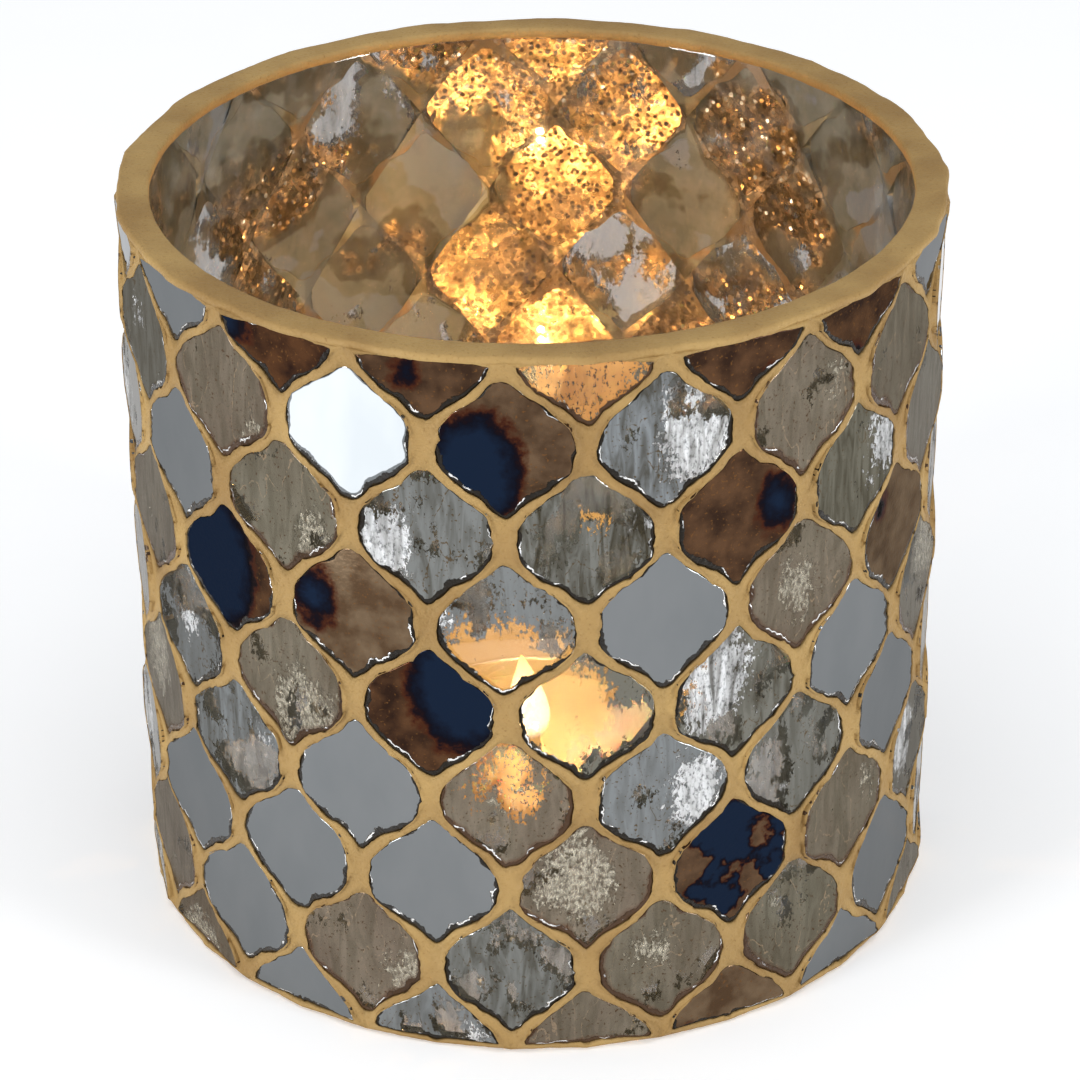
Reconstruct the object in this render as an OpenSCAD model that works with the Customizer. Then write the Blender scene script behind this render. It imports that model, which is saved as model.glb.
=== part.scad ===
// Mosaic tealight holder: a clear glass cup faced with lantern-shaped pieces of silvered and
// coloured glass, grouted and rimmed in gold, with a tealight standing inside it.
// Millimetres, +Z up. The origin is on the surface it stands on, on the cup's axis, and the
// front faces -Y.

/* [Holder] */
// Overall height, floor to rim
height = 94; // [80:1:110]
// Radius of the inside of the glass cup
cup_bore_r = 46.2; // [42:0.1:50]
// Thickness of the cup's glass wall
cup_wall = 1.6; // [1.4:0.1:2.4]
// Thickness of the cup's glass floor
cup_floor = 3; // [2.5:0.1:5]

/* [Mosaic] */
// Mosaic pieces in one ring round the cup
columns = 17; // [15:1:19]
// Thickness of one mosaic piece
tile_thickness = 1.6; // [1.2:0.1:2]
// Width of the grout joint between two pieces
joint = 1.3; // [1:0.1:2]
// How far a piece's flank swells out beside its side lobe and hollows beside its tip
swell = 0.85; // [0:0.05:1]
// Thickness of the clear adhesive film behind the pieces
adhesive = 0.2; // [0.1:0.05:0.4]
// Angle of the first column from the front
first_column = -3.7; // [-20:0.1:20]

/* [Grout] */
// How far the grout stands out past the middle of the mosaic pieces' faces
grout_proud = 0.3; // [0:0.05:0.6]
// Height of the grout over the top edge of the glass
rim_cap_height = 0.8; // [0.8:0.1:3]
// Height of the lowest grout above the floor
grout_lift = 0.4; // [0.2:0.1:1]
// Height of the grout foot below the lowest pieces
foot_height = 0.8; // [0.5:0.1:2]
// Grout between the rim cap and the cut edges of the highest pieces
rim_joint = 0.4; // [0.2:0.1:1]

/* [Tealight] */
// Outer radius of the aluminium candle cup
tealight_r = 19; // [18:0.1:19.5]
// Height of the aluminium candle cup
tealight_height = 12; // [11:0.5:17]
// Depth of the wax in its cup
wax_depth = 8.6; // [7:0.1:10]
// Free length of the wick above the wax
wick_free = 5; // [4:0.5:8]

/* [Hidden] */
$fn = 96;
rows = 9; // ring 1 is cut in half by the rim, and ring 9 by the foot
pitch_angle = 360 / columns;
row_step = height / (rows - 1);
cup_r = cup_bore_r + cup_wall;
bed_r = cup_r + adhesive; // the flat backs of the mosaic pieces touch the film here
face_r = bed_r + tile_thickness;
grout_r = face_r + grout_proud;
half_w = PI * face_r / columns;
top_z = height - rim_cap_height;
foot_z = grout_lift + foot_height; // the cut edges of the lowest and highest pieces
cut_z = top_z - rim_joint;
corner_r = 2.4; // rounding of the cup's lower corner
fillet_r = 2.4; // rounding inside the cup, between wall and floor
punt_r = cup_r - 6; // the hollow under the cup leaves a ring to stand on
punt_depth = 0.8;
foil = 0.25; // thickness of the candle cup's aluminium
curl_r = 0.5; // rolled edge of the candle cup
wax_gap = 0.05;
wick_r = 0.8;
clip_r = 7; // metal foot that holds the wick upright
clip_thickness = 0.3;
clip_neck_h = 4;
clip_neck_r = 1.4;
wick_fit = 0.03; // running gap round the wick

// One letter for each piece, a ring at a time from the rim down. The middle letter is the
// column nearest the front, and the letters run towards +X. M mirror, S old silver,
// C champagne and B burnt.
FINISHES = [["mirror", "M"], ["silver", "S"], ["champagne", "C"], ["burnt", "B"]];
LAYOUT = [
  "SMCBMMBBCBBMSCMSB",
  "CSMBSSCMBSCCMSBCM",
  "MCSBSMCSSBSCMSCMB",
  "BSCMMCBBSMCBCSMSC",
  "SCMSCSCBSSMCSBCMS",
  "CMBCMCSMCSSMCSMBC",
  "MSCSSMMMCBCSBCMSM",
  "SBMCBCMCSCCMSMCSC",
  "CMSBSCMSCBMCSCBMS"
];

FURNITURE = ["glass_cup", "adhesive_film", "grout", "rim_cap"];
CANDLE = ["tealight_cup", "tealight_wax", "wick_clip", "wick"];

function tile_node(finish, ring) = str(finish, "_tiles_row", ring);
function tile_angle(ring, column) =
  first_column + pitch_angle * (column - floor(columns / 2) + (ring % 2) / 2);
function tile_z(ring) = height - row_step * (ring - 1);

// One flank of a piece, from its side lobe to its tip, as an S-curve along the cell's edge.
// a and b are the shares of the edge where it starts and ends, and s is its swell.
function flank(a, b, s) =
  let (edge = norm([half_w, row_step]), out = [row_step, half_w] / edge)
  [for (i = [0 : 4])
    let (t = a + (b - a) * i / 4)
    [half_w * (1 - t), row_step * t] + out * (s * sin(360 * t) - joint / 2)];

// The outline of a piece: four flanks, each a little different, as hand-nipped pieces are.
function outline(ring, column) =
  let (r = rands(-1, 1, 12, 100 * ring + column))
  [for (quarter = [0 : 3])
    let (
      q = flank(0.05 + 0.02 * r[quarter], 0.84 + 0.04 * r[4 + quarter],
                swell * (1 + 0.3 * r[8 + quarter])),
      x = (quarter == 0 || quarter == 3) ? 1 : -1,
      y = quarter < 2 ? 1 : -1,
      last = len(q) - 1
    )
    for (i = [0 : last]) let (p = q[x * y > 0 ? i : last - i]) [x * p[0], y * p[1]]];

// A prism with a piece's outline, between two distances from the axis.
module tile_prism(ring, column, near, far) {
  z = tile_z(ring);
  rotate([0, 0, tile_angle(ring, column)])
    translate([0, -near, z])
      rotate([90, 0, 0])
        linear_extrude(far - near)
          intersection() {
            polygon(outline(ring, column));
            translate([-half_w, foot_z - z])
              square([2 * half_w, cut_z - foot_z]);
          }
}

module tiles(finish, ring) {
  letter = FINISHES[search([finish], FINISHES)[0]][1];
  for (column = [0 : columns - 1])
    if (LAYOUT[ring - 1][column % 17] == letter)
      tile_prism(ring, column, bed_r, face_r);
}

module tube(outer, inner, low, high) {
  rotate_extrude()
    translate([inner, low])
      square([outer - inner, high - low]);
}

module glass_cup() {
  arc = [0 : 15 : 90];
  color("lightcyan", 0.4)
    rotate_extrude()
      polygon(concat(
        [[0, punt_depth], [punt_r - 2 * punt_depth, punt_depth], [punt_r, 0]],
        [for (a = arc) [cup_r - corner_r + corner_r * sin(a), corner_r - corner_r * cos(a)]],
        [[cup_r, top_z], [cup_bore_r, top_z]],
        [for (a = arc) [cup_bore_r - fillet_r + fillet_r * cos(a),
                        cup_floor + fillet_r - fillet_r * sin(a)]],
        [[0, cup_floor]]
      ));
}

// Clear adhesive that the mosaic pieces are bedded on.
module adhesive_film() {
  color("whitesmoke", 0.5)
    tube(bed_r, cup_r, grout_lift, top_z);
}

module grout() {
  color("darkgoldenrod")
    difference() {
      tube(grout_r, bed_r, grout_lift, top_z);
      for (ring = [1 : rows], column = [0 : columns - 1])
        tile_prism(ring, column, bed_r - 2, face_r + 2);
    }
}

module rim_cap() {
  color("goldenrod")
    tube(grout_r, cup_bore_r, top_z, height);
}

module tealight_cup() {
  inner = tealight_r - foil;
  top = cup_floor + tealight_height;
  color("silver")
    rotate_extrude()
      union() {
        translate([0, cup_floor])
          square([tealight_r, foil]);
        translate([inner, cup_floor])
          square([foil, tealight_height - curl_r]);
        translate([tealight_r, top - curl_r])
          circle(r = curl_r, $fn = 24);
      }
}

module wick_clip() {
  low = cup_floor + foil;
  color("lightgray")
    rotate_extrude()
      polygon([
        [wick_r + wick_fit, low + clip_thickness],
        [wick_r + wick_fit, low + clip_neck_h],
        [clip_neck_r, low + clip_neck_h],
        [clip_neck_r, low + 2 * clip_thickness],
        [clip_r, low + clip_thickness],
        [clip_r, low],
        [0, low],
        [0, low + clip_thickness]
      ]);
}

module tealight_wax() {
  low = cup_floor + foil;
  color("ivory")
    difference() {
      translate([0, 0, low])
        cylinder(h = wax_depth, r = tealight_r - foil - wax_gap);
      translate([0, 0, low - 1])
        cylinder(h = wax_depth + 2, r = clip_neck_r + wax_gap);
      translate([0, 0, low - 1])
        cylinder(h = 1 + 2 * clip_thickness + wax_gap, r = clip_r + wax_gap);
    }
}

module wick() {
  low = cup_floor + foil + clip_thickness;
  color("dimgray")
    translate([0, 0, low])
      cylinder(h = wax_depth - clip_thickness + wick_free, r = wick_r);
}

glass_cup();
adhesive_film();
grout();
rim_cap();
tealight_cup();
tealight_wax();
wick_clip();
wick();
for (ring = [1 : rows]) {
  color("gainsboro") tiles("mirror", ring);
  color("silver") tiles("silver", ring);
  color("tan") tiles("champagne", ring);
  color("saddlebrown") tiles("burnt", ring);
}
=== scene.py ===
import math
import random

import bpy
from mathutils import Matrix, Vector, noise


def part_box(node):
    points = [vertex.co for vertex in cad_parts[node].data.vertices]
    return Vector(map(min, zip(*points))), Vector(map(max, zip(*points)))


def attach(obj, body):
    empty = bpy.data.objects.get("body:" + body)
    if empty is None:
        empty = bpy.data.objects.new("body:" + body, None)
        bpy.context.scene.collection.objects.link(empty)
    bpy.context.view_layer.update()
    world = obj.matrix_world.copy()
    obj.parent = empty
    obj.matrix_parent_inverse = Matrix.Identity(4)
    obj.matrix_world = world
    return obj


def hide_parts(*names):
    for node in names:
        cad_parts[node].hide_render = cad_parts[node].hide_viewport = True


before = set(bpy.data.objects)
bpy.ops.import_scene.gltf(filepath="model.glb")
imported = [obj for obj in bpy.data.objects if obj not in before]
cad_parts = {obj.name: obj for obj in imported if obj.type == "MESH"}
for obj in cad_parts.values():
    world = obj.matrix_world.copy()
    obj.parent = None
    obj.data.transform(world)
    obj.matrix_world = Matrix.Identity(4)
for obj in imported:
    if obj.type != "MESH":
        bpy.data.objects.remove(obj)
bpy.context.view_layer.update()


# ---- Glass cup -------------------------------------------------------------------------------
# A machine-made clear glass tumbler: straight wall, thick floor and a shallow punt underneath.
# Everything else is stuck to it. Its rim is fire-polished and hidden by the gold cap.

MM = 0.001
scene = bpy.context.scene


def hook_up(tree, kind, *inputs, **settings):
    """Adds a node, sets it, and feeds each (socket, value or link) pair into it."""
    made = tree.nodes.new(kind)
    for name, value in settings.items():
        setattr(made, name, value)
    for socket, value in inputs:
        if isinstance(value, bpy.types.NodeSocket):
            tree.links.new(value, made.inputs[socket])
        else:
            made.inputs[socket].default_value = value
    return made


def start_material(name):
    """A material with an empty tree, its Principled shader and its output."""
    made = bpy.data.materials.new(name)
    made.use_nodes = True
    tree = made.node_tree
    tree.nodes.clear()
    skin = tree.nodes.new("ShaderNodeBsdfPrincipled")
    tree.links.new(skin.outputs["BSDF"], tree.nodes.new("ShaderNodeOutputMaterial").inputs["Surface"])
    return made, tree, skin


def build_piece(name, points, faces, body, slot, materials, replaced=(), which=None, smooth=True):
    """Makes one piece from points in metres and rides it on a body."""
    mesh = bpy.data.meshes.new(name)
    mesh.from_pydata([tuple(p) for p in points], [], faces)
    for material in materials:
        mesh.materials.append(material)
    if which is not None:
        mesh.polygons.foreach_set("material_index", which)
    mesh.polygons.foreach_set("use_smooth", [smooth] * len(mesh.polygons))
    mesh.update()
    made = bpy.data.objects.new(name, mesh)
    scene.collection.objects.link(made)
    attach(made, body)
    if replaced:
        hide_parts(*replaced)
    return made


def turn_profile(profile, steps, wobble=None):
    """Turns a closed (radius, height) outline in mm round the axis; points on the axis are shared."""
    points, faces, rings = [], [], []
    for r, z in profile:
        if r <= 0:
            rings.append([len(points)] * steps)
            points.append(Vector((0, 0, z * MM)))
            continue
        rings.append(list(range(len(points), len(points) + steps)))
        for i in range(steps):
            a = 2 * math.pi * i / steps
            dr, dz = wobble(a, r, z) if wobble else (0, 0)
            points.append(Vector(((r + dr) * math.cos(a), (r + dr) * math.sin(a), z + dz)) * MM)
    for j, ring in enumerate(rings):
        after = rings[(j + 1) % len(rings)]
        for i in range(steps):
            k = (i + 1) % steps
            face = []
            for p in (ring[i], ring[k], after[k], after[i]):
                if p not in face:
                    face.append(p)
            if len(face) > 2:
                faces.append(face)
    return points, faces


def arc(cx, cz, r, start, end, count):
    """Points along an arc in mm, with angles in degrees from the outward direction."""
    return [(cx + r * math.cos(math.radians(start + (end - start) * i / count)),
             cz + r * math.sin(math.radians(start + (end - start) * i / count))) for i in range(count + 1)]


_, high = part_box("glass_cup")
CUP_R = high[0] / MM
CUP_TOP = high[2] / MM
CUP_WALL = 1.6
BORE_R = CUP_R - CUP_WALL
FLOOR_Z = 3.0
GLASS_IOR = 1.47

cup_profile = (
    [(0, 0.8), (20, 0.8), (CUP_R - 7.6, 0.8), (CUP_R - 6.5, 0.25), (CUP_R - 5.4, 0.0)]
    + arc(CUP_R - 2.4, 2.4, 2.4, -90, 0, 8)
    + [(CUP_R, z) for z in (20, 40, 60, 80)]
    + arc(CUP_R - 0.8, CUP_TOP - 0.8, 0.8, 0, 180, 8)
    + [(BORE_R, z) for z in (80, 60, 40, 20)]
    + arc(BORE_R - 2.4, FLOOR_Z + 2.4, 2.4, 0, -90, 8)
    + [(30, FLOOR_Z), (15, FLOOR_Z), (0, FLOOR_Z)]
)


def cup_wobble(a, r, z):
    """The slight waviness of the pressed inside wall, in mm."""
    where = Vector((math.cos(a), math.sin(a), z * 0.02))
    return (0.05 * noise.noise(where * 1.7) * (z > 8) if r < BORE_R + 0.1 else 0, 0)


clear_glass, tree, skin = start_material("clear_glass")
behind = hook_up(tree, "ShaderNodeNewGeometry").outputs["Backfacing"]
bend = hook_up(tree, "ShaderNodeMapRange", ("Value", behind), ("To Min", GLASS_IOR),
               ("To Max", 1 / GLASS_IOR))
facing = hook_up(tree, "ShaderNodeFresnel", ("IOR", bend.outputs[0]))
strength = hook_up(tree, "ShaderNodeMath", (0, facing.outputs[0]), (1, 1.1), (2, 0.02),
                   operation="MULTIPLY_ADD", use_clamp=True)
tree.links.new(strength.outputs[0], skin.inputs["Alpha"])
skin.inputs["Base Color"].default_value = (0.9, 0.95, 0.93, 1)
skin.inputs["Metallic"].default_value = 1
skin.inputs["Roughness"].default_value = 0.02
points, faces = turn_profile(cup_profile, 160, cup_wobble)
build_piece("cup", points, faces, "holder", "clear_glass", [clear_glass], ["glass_cup"])


# ---- Adhesive --------------------------------------------------------------------------------
# Clear cured adhesive between the cup and the mosaic. It's rolled on as an even film and
# stays slightly cloudy, with small bubbles trapped in it.

def own_place(tree):
    """A point's place in its own piece, in metres."""
    return hook_up(tree, "ShaderNodeTexCoord").outputs["Object"]


def cloudy(tree, where, scale, detail=2.0, **more):
    """A cloudy value about 0.5; more can set the noise's Roughness or Distortion."""
    return hook_up(tree, "ShaderNodeTexNoise", ("Vector", where), ("Scale", scale), ("Detail", detail),
                   *more.items()).outputs["Fac"]


def ramp(tree, value, low, high, start=0.0, end=1.0):
    """Spreads a value from low..high to start..end, and stops at both ends."""
    return hook_up(tree, "ShaderNodeMapRange", ("Value", value), ("From Min", low), ("From Max", high),
                   ("To Min", start), ("To Max", end)).outputs[0]


adhesive, tree, skin = start_material("adhesive")
veil = ramp(tree, cloudy(tree, own_place(tree), 220.0, 4.0), 0.5, 0.75, 0.0, 0.12)
tree.links.new(veil, skin.inputs["Alpha"])
skin.inputs["Base Color"].default_value = (0.8, 0.77, 0.68, 1)
skin.inputs["Roughness"].default_value = 0.4
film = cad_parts["adhesive_film"]
film.data.materials.clear()
film.data.materials.append(adhesive)


# ---- Mosaic pieces ---------------------------------------------------------------------------
# Lantern-shaped pieces of 1.6 mm mirror glass, nipped to shape and glued on flat. The leaf on
# their backs is plain, worn and crinkled, tinted, or burnt with heat, so no two are alike.

TILE_BACK = 48.0
TILE_FACE = 49.6
COLUMNS, PITCH, FIRST = 17, 2 * math.pi / 17, math.radians(-3.7)
OUTLINE = 80               # points round one piece
TILE_TOP = 94              # the height of the first row's middle, at the rim
ROW_STEP = TILE_TOP / 8
TIP_X, TIP_Y = 8.2, 11.0   # where a whole piece's tips lie, from its middle

# What is special about some pieces, by row from the rim and column from the front. bare is the
# share that has lost its leaf, streak is how brushed it is, and tone runs from dull and dark to
# bright (on the back: grey, taupe, olive, then glittering bronze). patch and worn_glow are (across,
# up, radius) spots in mm: patch is crinkled leaf, or blue on burnt pieces, and worn_glow is leaf worn
# down to amber lacquer, painted bright as painted candle glow shining through it.
SPECIAL = {
    (0, -2): dict(patch=(-7, -1, 3), tone=0), (0, -1): dict(patch=(-2, -3, 1), tone=0.3),
    (0, 0): dict(bare=0.3, worn_glow=(0, -3, 7), tone=0.2), (0, 1): dict(patch=(4, -7, 1), tone=0.15),
    (0, 2): dict(patch=(-1, -9, 1), tone=0.1), (0, 3): dict(patch=(1, -5, 1.5), tone=0.1),
    (1, 0): dict(patch=(-3.6, -3.2, 6.2), tone=0.6), (1, 1): dict(bare=0.22, patch=(4.5, 0.5, 6), tone=1),
    (2, -1): dict(bare=0.34, patch=(-6, -1, 5.5), streak=0.6, tone=0.6),
    (2, 0): dict(bare=0.3, streak=1, patch=(7, 4, 3), tone=0.35, worn_glow=(1, 4, 0.2)),
    (2, 1): dict(patch=(5.4, 0.6, 2.7), tone=0.2), (2, 3): dict(patch=(3, -6, 0.5), tone=0.2),
    (3, -2): dict(patch=(-3, 0.5, 8.3), tone=0.1), (3, -1): dict(patch=(-4.9, 1.2, 2.8), tone=1),
    (3, 0): dict(bare=0.35, streak=0.3, patch=(-8, 3, 3), worn_glow=(0, -8.5, 8.5), tone=0.75),
    (4, -2): dict(bare=0.15), (4, -1): dict(patch=(4, 4.4, 7.4), tone=0.1),
    (4, 0): dict(bare=0.5, streak=0, patch=(-8, -6, 1), worn_glow=(-4, 1, 5.5), tone=0.1),
    (4, 1): dict(bare=0.25, patch=(-3, 3, 6.5), worn_glow=(-7, 2, 2), tone=0.2),
    (5, 0): dict(bare=0.3, patch=(0, 0, 1), worn_glow=(0, 4.5, 4.5)),
    (5, 1): dict(bare=0.15, patch=(4.5, 0, 4), tone=0.9),
    (5, 2): dict(bare=0.45, patch=(-4, -3, 4), tone=0.3),
    (6, 1): dict(streak=1, patch=(0, 2, 6.3), tone=0.4),
    (7, 0): dict(bare=0.35, patch=(0, 0, -6), tone=0.5),
    # The pieces that show their backs, across the cup from the front.
    (0, -8): dict(tone=0.7), (0, -7): dict(tone=0.36), (0, -6): dict(tone=0.12), (0, 6): dict(tone=0.42),
    (0, 7): dict(tone=0.5), (0, 8): dict(tone=0.85),
    (1, -8): dict(tone=1), (1, -7): dict(tone=0.5), (1, -6): dict(tone=0.35), (1, -5): dict(tone=0.3),
    (1, 5): dict(tone=0.36), (1, 6): dict(tone=0.42), (1, 7): dict(tone=0.5),
    (1, 8): dict(tone=0.9, bare=0.2),
    (2, -8): dict(tone=0.35), (2, -7): dict(tone=0.27), (2, -6): dict(tone=0.4), (2, 6): dict(tone=0.42),
    (2, 7): dict(tone=0.14), (2, 8): dict(tone=0.75),
    (3, -8): dict(tone=0.9), (3, -7): dict(tone=0.3), (3, 7): dict(tone=0.3),
    (3, 8): dict(tone=0.5, bare=0.54),
}


def outline_of(corners):
    """A smooth closed curve through a piece's corners, as OUTLINE points (across, up) in mm."""
    count = len(corners)
    lengths = [(corners[(i + 1) % count] - corners[i]).length for i in range(count)]
    total, curve, i, run = sum(lengths), [], 0, 0.0
    for step in range(OUTLINE):
        want = total * step / OUTLINE
        while run + lengths[i] < want:
            run += lengths[i]
            i += 1
        t = (want - run) / lengths[i]
        p0, p1, p2, p3 = (corners[(i + d) % count] for d in (-1, 0, 1, 2))
        flat = p1.lerp(p2, t)
        once, twice = p2 - p0, 2 * p0 - 5 * p1 + 4 * p2 - p3
        bent = 0.5 * (2 * p1 + once * t + twice * t * t + (3 * p1 - p0 - 3 * p2 + p3) * t ** 3)
        curve.append(bent if (bent - flat).length < 0.25 else flat)
    return curve


def read_pieces(node):
    """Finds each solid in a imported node: its row, column, turn about the axis and front corners."""
    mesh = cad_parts[node].data
    spots = {}
    for v in mesh.vertices:
        key = tuple(round(c, 6) for c in v.co)
        spots.setdefault(key, len(spots))
    index = [spots[tuple(round(c, 6) for c in v.co)] for v in mesh.vertices]
    parent = list(range(len(spots)))

    def root(i):
        while parent[i] != i:
            parent[i] = parent[parent[i]]
            i = parent[i]
        return i

    for polygon in mesh.polygons:
        first = root(index[polygon.vertices[0]])
        for other in polygon.vertices[1:]:
            parent[root(index[other])] = first
    groups = {}
    for key, i in spots.items():
        groups.setdefault(root(i), []).append(Vector(key) / MM)
    row = int(node[-1]) - 1
    for group in groups.values():
        middle = sum(group, Vector()) / len(group)
        around = math.atan2(middle.x, -middle.y)
        offset = FIRST + (PITCH / 2 if row % 2 == 0 else 0)
        column = round((around - offset) / PITCH)
        if column > 8:
            column -= COLUMNS
        around = offset + column * PITCH
        out = Vector((math.sin(around), -math.cos(around), 0))
        across = Vector((math.cos(around), math.sin(around), 0))
        height = TILE_TOP - ROW_STEP * row
        corners = [Vector((p.dot(across), p.z - height)) for p in group if p.dot(out) > TILE_FACE - 0.1]
        centre = sum(corners, Vector((0, 0))) / len(corners)
        corners.sort(key=lambda c: math.atan2(c.y - centre.y, c.x - centre.x))
        yield row, column, around, corners


def pull_in(curve, amount):
    """Moves a curve's points towards its middle by an amount in mm, one for each point."""
    centre = sum(curve, Vector((0, 0))) / len(curve)
    made = []
    for p, by in zip(curve, amount):
        away = p - centre
        made.append(centre + away * (1 - by / away.length))
    return made


layout = {}
for node in sorted(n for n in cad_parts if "_tiles_row" in n):
    for row, column, around, corners in read_pieces(node):
        dice = random.Random(1000 * row + column + 50)
        curve = outline_of(corners)
        ragged = [-0.22 + 0.34 * noise.noise(Vector((p.x * 0.42, p.y * 0.42, row * 31 + column * 7.3))) +
                  0.17 * noise.noise(Vector((p.x * 1.3, p.y * 1.3, row * 17 + column * 5.1))) for p in curve]
        # The nippers leave each of the four tips more or less blunt.
        for tip in (Vector((TIP_X, 0)), Vector((-TIP_X, 0)), Vector((0, TIP_Y)), Vector((0, -TIP_Y))):
            blunt, reach = dice.uniform(0.5, 1.3) * (0.8 if tip.x else 1.5), 1.7 if tip.x else 2.2
            ragged = [by + blunt * math.exp(-((p - tip).length / reach) ** 2) for p, by in zip(curve, ragged)]
        tilt = (dice.uniform(-0.5, 0.5), dice.uniform(-1.6, 1.6))
        layout[row, column] = dict(node=node, around=around, curve=pull_in(curve, ragged), dice=dice,
                                   tilt=tilt, lift=dice.uniform(0.02, 0.2))


def on_tile(piece, row, p, depth):
    """A point on a piece: (across, up) in mm on its face, and its distance from the axis."""
    rise, yaw = (math.radians(t) for t in piece["tilt"])
    depth += piece["lift"] + p.x * math.tan(yaw) + p.y * math.tan(rise)
    a = piece["around"]
    return Vector((p.x * math.cos(a) + depth * math.sin(a), p.x * math.sin(a) - depth * math.cos(a),
                   TILE_TOP - ROW_STEP * row + p.y)) * MM


def read_attribute(tree, name):
    return hook_up(tree, "ShaderNodeAttribute", attribute_name=name)


def new_group(name, inputs, outputs):
    """A shader node group with named sockets, given as (name, kind, default) and (name, kind)."""
    group = bpy.data.node_groups.new(name, "ShaderNodeTree")
    for socket, kind, value in inputs:
        made = group.interface.new_socket(name=socket, in_out="INPUT", socket_type="NodeSocket" + kind)
        if value is not None:
            made.default_value = value
    for socket, kind in outputs:
        group.interface.new_socket(name=socket, in_out="OUTPUT", socket_type="NodeSocket" + kind)
    return group, group.nodes.new("NodeGroupInput").outputs, group.nodes.new("NodeGroupOutput").inputs


def calc(tree, operation, a, b=0.0, c=0.0):
    return hook_up(tree, "ShaderNodeMath", (0, a), (1, b), (2, c), operation=operation).outputs[0]


def on_vectors(tree, operation, *inputs):
    made = hook_up(tree, "ShaderNodeVectorMath", *enumerate(inputs), operation=operation)
    return made.outputs["Value" if operation == "LENGTH" else "Vector"]


def xyz(tree, vector):
    return hook_up(tree, "ShaderNodeSeparateXYZ", ("Vector", vector)).outputs


def blend(tree, share, a, b):
    return hook_up(tree, "ShaderNodeMix", (0, share), (6, a), (7, b), data_type="RGBA").outputs[2]


def blend_values(tree, share, a, b):
    return hook_up(tree, "ShaderNodeMix", (0, share), (2, a), (3, b), data_type="FLOAT").outputs[0]


# Leaf: where it has come off, where it's crinkled, how it's brushed, and its fine specks.
leaf_group, given, result = new_group(
    "leaf", [("Spot", "Vector", None), ("Bare", "Float", 0.2), ("Patch", "Vector", None),
             ("Worn Glow", "Vector", None)],
    [("Bare", "Float"), ("Crinkle", "Float"), ("Streak", "Float"), ("Speck", "Float"),
     ("Foil Height", "Float"), ("Patch", "Float"), ("Shade", "Float"), ("Hair", "Float"), ("Worn Glow", "Float")])
g = leaf_group
tall = on_vectors(g, "MULTIPLY", given["Spot"], (1.0, 0.55, 1.0))
jag = hook_up(g, "ShaderNodeTexNoise", ("Vector", tall), ("Scale", 1.5), ("Detail", 6.0), ("Roughness", 0.72))
torn = on_vectors(g, "MULTIPLY_ADD", jag.outputs["Color"], (2.6, 2.6, 0), tall)
shards = hook_up(g, "ShaderNodeTexVoronoi", ("Vector", torn), ("Scale", 0.34), distance="CHEBYCHEV")
chips = hook_up(g, "ShaderNodeSeparateColor", ("Color", shards.outputs["Color"])).outputs[0]
broad = cloudy(g, given["Spot"], 0.15, 1.0)
small = cloudy(g, tall, 2.0, 5.0, Roughness=0.7)
wear = calc(g, "MULTIPLY_ADD", chips, 0.32, calc(g, "MULTIPLY_ADD", ramp(g, broad, 0.3, 0.7), 0.42,
            ramp(g, small, 0.3, 0.7, 0.0, 0.26)))
edge = ramp(g, given["Bare"], 0.0, 1.0, 0.14, 0.9)
lost = ramp(g, calc(g, "SUBTRACT", edge, wear), -0.008, 0.008)
# The worn spot: leaf worn down to amber lacquer, which the materials paint bright as painted candle glow.
off = on_vectors(g, "SUBTRACT", given["Spot"], given["Worn Glow"])
off = on_vectors(g, "LENGTH", on_vectors(g, "MULTIPLY", off, (1, 1, 0)))
off = calc(g, "SUBTRACT", xyz(g, given["Worn Glow"])[2], off)
off = calc(g, "MULTIPLY_ADD", chips, 4.5, calc(g, "MULTIPLY_ADD", ramp(g, small, 0.3, 0.7), 5.5, off))
glow_spot = ramp(g, off, 4.95, 5.05)
g.links.new(glow_spot, result["Worn Glow"])
g.links.new(calc(g, "MAXIMUM", lost, glow_spot), result["Bare"])
apart = on_vectors(g, "SUBTRACT", given["Spot"], given["Patch"])
reach = on_vectors(g, "LENGTH", on_vectors(g, "MULTIPLY", apart, (1.15, 0.85, 0)))
size = xyz(g, given["Patch"])[2]
ripple = cloudy(g, given["Spot"], 0.45, 7.0, Roughness=0.62)
inside = calc(g, "SUBTRACT", size, calc(g, "ADD", reach, calc(g, "MULTIPLY_ADD", ripple, 5.0, -2.5)))
g.links.new(inside, result["Patch"])
rip = calc(g, "MULTIPLY_ADD", ramp(g, small, 0.25, 0.75), -6.0,
           calc(g, "MULTIPLY_ADD", chips, -2.6, calc(g, "ADD", inside, 4.0)))
g.links.new(ramp(g, rip, -0.1, 0.25), result["Crinkle"])
combed = on_vectors(g, "MULTIPLY", given["Spot"], (0.8, 0.14, 1))
brushed = cloudy(g, combed, 0.95, 6.0, Distortion=0.9)
g.links.new(ramp(g, brushed, 0.38, 0.64), result["Streak"])
dots = cloudy(g, given["Spot"], 2.6, 3.0)
g.links.new(ramp(g, dots, 0.64, 0.67), result["Speck"])
foil = cloudy(g, tall, 2.3, 6.0, Roughness=0.7)
g.links.new(foil, result["Foil Height"])
soft = cloudy(g, on_vectors(g, "MULTIPLY", given["Spot"], (1, 0.5, 1)), 0.14, 3.0)
g.links.new(ramp(g, soft, 0.34, 0.66), result["Shade"])
lines = cloudy(g, on_vectors(g, "MULTIPLY", given["Spot"], (1, 0.4, 1)), 0.17, 2.5)
hair = calc(g, "COMPARE", lines, 0.5, 0.0035)
g.links.new(calc(g, "MULTIPLY", hair, ramp(g, dots, 0.45, 0.55)), result["Hair"])


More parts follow.
